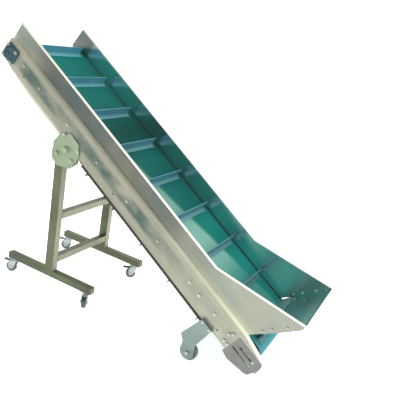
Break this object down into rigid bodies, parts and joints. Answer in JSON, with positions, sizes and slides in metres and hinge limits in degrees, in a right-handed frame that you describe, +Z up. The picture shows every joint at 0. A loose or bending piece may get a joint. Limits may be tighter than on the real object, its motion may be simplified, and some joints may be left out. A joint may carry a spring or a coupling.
{
  "type": "mobile inclined cleated belt conveyor",
  "caption": "Inclined cleated belt conveyor with side guards, infeed hopper, gear-motor drive and a tilting trough on a wheeled H-shaped stand.",
  "frame": {"origin": "middle of the footprint on the floor: centre of the bounding box's bottom face", "axes": "+X level along the machine towards the low infeed end, +Y across the belt from the near guard to the drive side, +Z up"},
  "size_m": [2.0394, 0.7753, 1.519],
  "materials": {
    "stainless_sheet": "2B mill finish, soft reflections",
    "stainless_frame": "2B mill finish, lightly marked",
    "stand_steel": "brushed stainless tube",
    "plate_steel": "cut plate, pale",
    "belt": "glossy food-grade PVC belt cover",
    "cleat": "satin moulded polyurethane",
    "bearing_paint": "dark petrol-blue enamel",
    "cap_metal": "dark grey satin",
    "slide_plastic": "black wear plastic",
    "skirt_rubber": "flexible sealing strip",
    "zinc_bolts": "bright plated fasteners",
    "zinc_fork": "bright zinc plate",
    "pulley_steel": "turned steel",
    "gear_alloy": "cast and bead blasted",
    "motor_paint": "semi-gloss enamel",
    "box_plastic": "moulded cover",
    "wheel_rubber": "solid grey tread",
    "caster_tread": "black tread on a pale core",
    "pedal_plastic": "dark coated steel",
    "end_plugs": "push-in plastic lids"
  },
  "bodies": {
    "stand": {"foot_beam_near": "stand_steel", "foot_beam_far": "stand_steel", "foot_end_caps": "end_plugs", "upright_near": "stand_steel", "upright_far": "stand_steel", "cross_bars": "stand_steel", "stand_plate_near": "plate_steel", "stand_plate_far": "plate_steel", "caster_top_plates": "zinc_fork"},
    "trough": {"belt": "belt", "belt_cleats": "cleat", "bottom_rail_far": "stainless_frame", "bottom_rail_near": "stainless_frame", "cross_members": "stainless_frame", "end_cap_far": "cap_metal", "end_cap_near": "cap_metal", "frame_bolts": "zinc_bolts", "gearbox": "gear_alloy", "guard_far": "stainless_sheet", "guard_near": "stainless_sheet", "head_bearing_far": "bearing_paint", "head_bearing_near": "bearing_paint", "hopper_bolts": "zinc_bolts", "hopper_end_plate": "stainless_sheet", "hopper_skirt": "skirt_rubber", "infeed_wheel_axles": "zinc_bolts", "motor": "motor_paint", "pivot_bolts": "zinc_bolts", "pivot_plate_far": "plate_steel", "pivot_plate_near": "plate_steel", "return_rail_far": "slide_plastic", "return_rail_near": "slide_plastic", "side_frame_far": "stainless_frame", "side_frame_near": "stainless_frame", "slider_bed": "stainless_frame", "take_up_screws": "zinc_bolts", "terminal_box": "box_plastic", "torque_arm": "plate_steel", "wheel_bracket_far": "plate_steel", "wheel_bracket_near": "plate_steel"},
    "head_pulley": {"head_drum": "pulley_steel", "head_shaft": "pulley_steel"},
    "take_up": {"take_up_blocks": "pulley_steel"},
    "tail_pulley": {"tail_drum": "pulley_steel", "tail_shaft": "pulley_steel"},
    "wheel_near": {"infeed_wheel_near": "wheel_rubber"},
    "wheel_far": {"infeed_wheel_far": "wheel_rubber"},
    "fork_near_head": {"caster_fork_near_head": "zinc_fork"},
    "caster_near_head": {"caster_wheel_near_head": "caster_tread"},
    "pedal_near_head": {"brake_pedal_near_head": "pedal_plastic"},
    "fork_near_tail": {"caster_fork_near_tail": "zinc_fork"},
    "caster_near_tail": {"caster_wheel_near_tail": "caster_tread"},
    "pedal_near_tail": {"brake_pedal_near_tail": "pedal_plastic"},
    "fork_far_head": {"caster_fork_far_head": "zinc_fork"},
    "caster_far_head": {"caster_wheel_far_head": "caster_tread"},
    "pedal_far_head": {"brake_pedal_far_head": "pedal_plastic"},
    "fork_far_tail": {"caster_fork_far_tail": "zinc_fork"},
    "caster_far_tail": {"caster_wheel_far_tail": "caster_tread"},
    "pedal_far_tail": {"brake_pedal_far_tail": "pedal_plastic"}
  },
  "joints": [
    {"name": "tilt", "type": "hinge", "parent": "stand", "child": "trough", "pos_m": [-0.48968, -0.06135, 0.90408], "axis": [0, 1, 0], "range_deg": [-10, 0]},
    {"name": "head_spin", "type": "hinge", "parent": "trough", "child": "head_pulley", "pos_m": [-0.95216, -0.06135, 1.34147], "axis": [0, 1, 0], "continuous": true},
    {"name": "take_up", "type": "slide", "parent": "trough", "child": "take_up", "axis": [-0.829, 0, 0.5592], "range_m": [0, 0.025]},
    {"name": "tail_spin", "type": "hinge", "parent": "take_up", "child": "tail_pulley", "pos_m": [0.77307, -0.06135, 0.17779], "axis": [0, 1, 0], "continuous": true},
    {"name": "wheel_spin_near", "type": "hinge", "parent": "trough", "child": "wheel_near", "pos_m": [0.4655, -0.33835, 0.05], "axis": [0, 1, 0], "continuous": true},
    {"name": "wheel_spin_far", "type": "hinge", "parent": "trough", "child": "wheel_far", "pos_m": [0.4655, 0.21565, 0.05], "axis": [0, 1, 0], "continuous": true},
    {"name": "swivel_near_head", "type": "hinge", "parent": "stand", "child": "fork_near_head", "pos_m": [-0.8355, -0.31535, 0.075], "axis": [0, 0, 1], "continuous": true},
    {"name": "caster_spin_near_head", "type": "hinge", "parent": "fork_near_head", "child": "caster_near_head", "pos_m": [-0.85702, -0.31992, 0.0325], "axis": [-0.2079, 0.9781, 0], "continuous": true},
    {"name": "brake_near_head", "type": "hinge", "parent": "fork_near_head", "child": "pedal_near_head", "pos_m": [-0.86435, -0.32148, 0.0705], "axis": [-0.2079, 0.9781, 0], "range_deg": [0, 12]},
    {"name": "swivel_near_tail", "type": "hinge", "parent": "stand", "child": "fork_near_tail", "pos_m": [-0.2635, -0.31535, 0.075], "axis": [0, 0, 1], "continuous": true},
    {"name": "caster_spin_near_tail", "type": "hinge", "parent": "fork_near_tail", "child": "caster_near_tail", "pos_m": [-0.25317, -0.33477, 0.0325], "axis": [-0.8829, -0.4695, 0], "continuous": true},
    {"name": "brake_near_tail", "type": "hinge", "parent": "fork_near_tail", "child": "pedal_near_tail", "pos_m": [-0.24965, -0.3414, 0.0705], "axis": [-0.8829, -0.4695, 0], "range_deg": [0, 12]},
    {"name": "swivel_far_head", "type": "hinge", "parent": "stand", "child": "fork_far_head", "pos_m": [-0.8355, 0.19265, 0.075], "axis": [0, 0, 1], "continuous": true},
    {"name": "caster_spin_far_head", "type": "hinge", "parent": "fork_far_head", "child": "caster_far_head", "pos_m": [-0.85617, 0.18513, 0.0325], "axis": [-0.342, 0.9397, 0], "continuous": true},
    {"name": "brake_far_head", "type": "hinge", "parent": "fork_far_head", "child": "pedal_far_head", "pos_m": [-0.86322, 0.18256, 0.0705], "axis": [-0.342, 0.9397, 0], "range_deg": [0, 12]},
    {"name": "swivel_far_tail", "type": "hinge", "parent": "stand", "child": "fork_far_tail", "pos_m": [-0.2635, 0.19265, 0.075], "axis": [0, 0, 1], "continuous": true},
    {"name": "caster_spin_far_tail", "type": "hinge", "parent": "fork_far_tail", "child": "caster_far_tail", "pos_m": [-0.28152, 0.18003, 0.0325], "axis": [-0.5736, 0.8192, 0], "continuous": true},
    {"name": "brake_far_tail", "type": "hinge", "parent": "fork_far_tail", "child": "pedal_far_tail", "pos_m": [-0.28767, 0.17573, 0.0705], "axis": [-0.5736, 0.8192, 0], "range_deg": [0, 12]}
  ],
  "couplings": [
    {"joint": "tail_spin", "follows": "head_spin", "ratio": 1}
  ]
}
